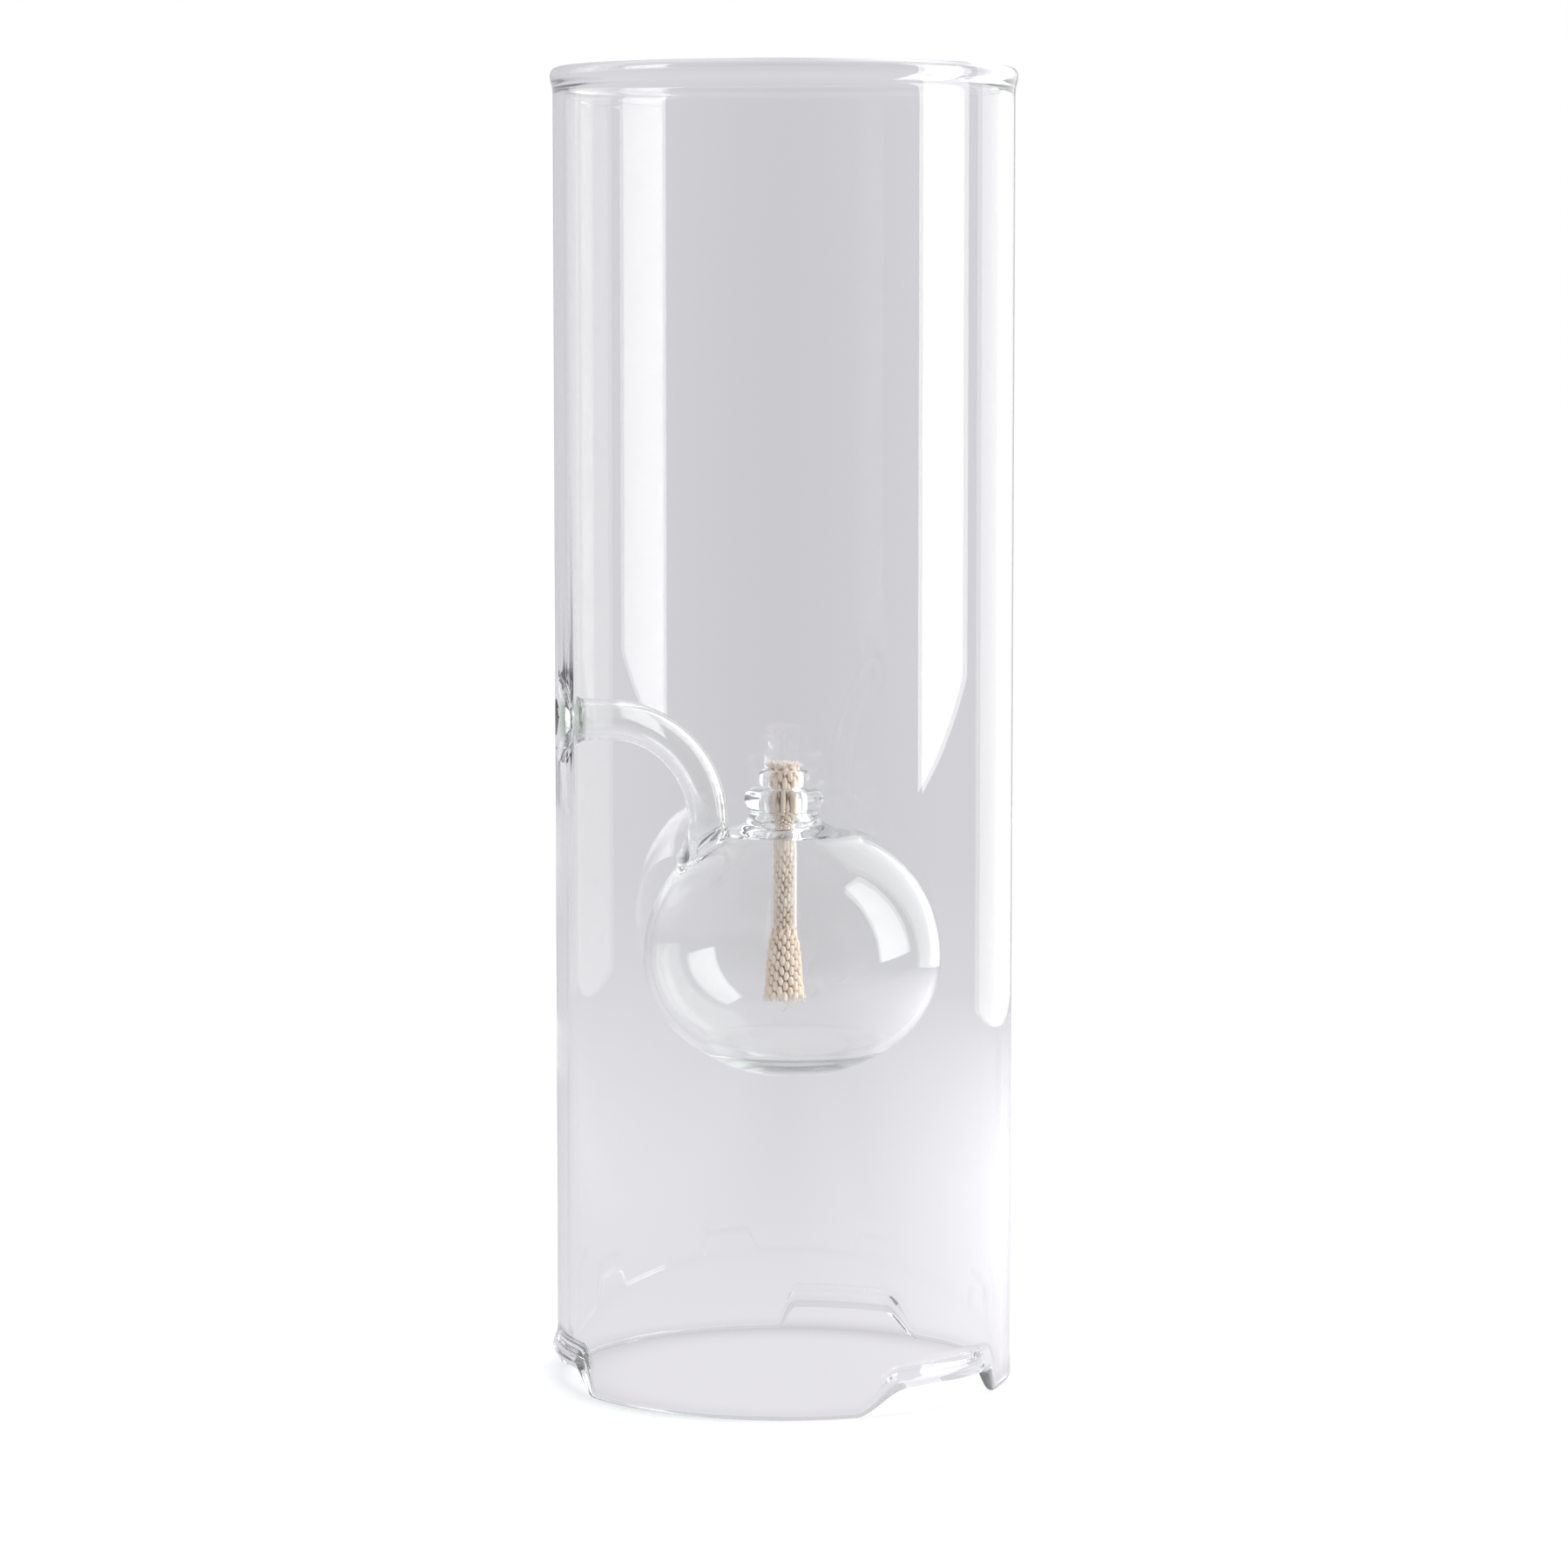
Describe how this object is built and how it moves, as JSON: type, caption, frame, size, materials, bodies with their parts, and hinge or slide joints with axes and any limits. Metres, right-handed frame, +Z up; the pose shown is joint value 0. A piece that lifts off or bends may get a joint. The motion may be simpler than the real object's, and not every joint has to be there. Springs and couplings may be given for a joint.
{
  "type": "oil lamp",
  "caption": "Clear blown glass oil lamp: an open cylinder chimney with a round reservoir hung inside on a hollow filling arm, and a lift-out glass wick holder.",
  "frame": {"origin": "centre of the chimney's open foot, on the surface that the lamp stands on", "axes": "+Z up along the chimney's axis, -X towards the filling mouth and arm, +Y completes the right-handed frame"},
  "size_m": [0.081, 0.081, 0.229],
  "materials": {
    "clear_glass": "clear, fire polished",
    "holder_glass": "clear, fire polished",
    "cotton_wick": "braided unbleached cotton"
  },
  "bodies": {
    "glass_body": {"chimney": "clear_glass", "filler_funnel": "clear_glass", "feed_arm": "clear_glass", "reservoir_bowl": "clear_glass", "reservoir_neck": "clear_glass"},
    "wick_holder": {"wick_tube": "holder_glass", "wick_head": "holder_glass"},
    "wick": {"wick": "cotton_wick"}
  },
  "joints": [
    {"name": "wick_holder_lift", "type": "slide", "parent": "glass_body", "child": "wick_holder", "axis": [0, 0, 1], "range_m": [0, 0.165]},
    {"name": "wick_raise", "type": "slide", "parent": "wick_holder", "child": "wick", "axis": [0, 0, 1], "range_m": [0, 0.0075]}
  ]
}
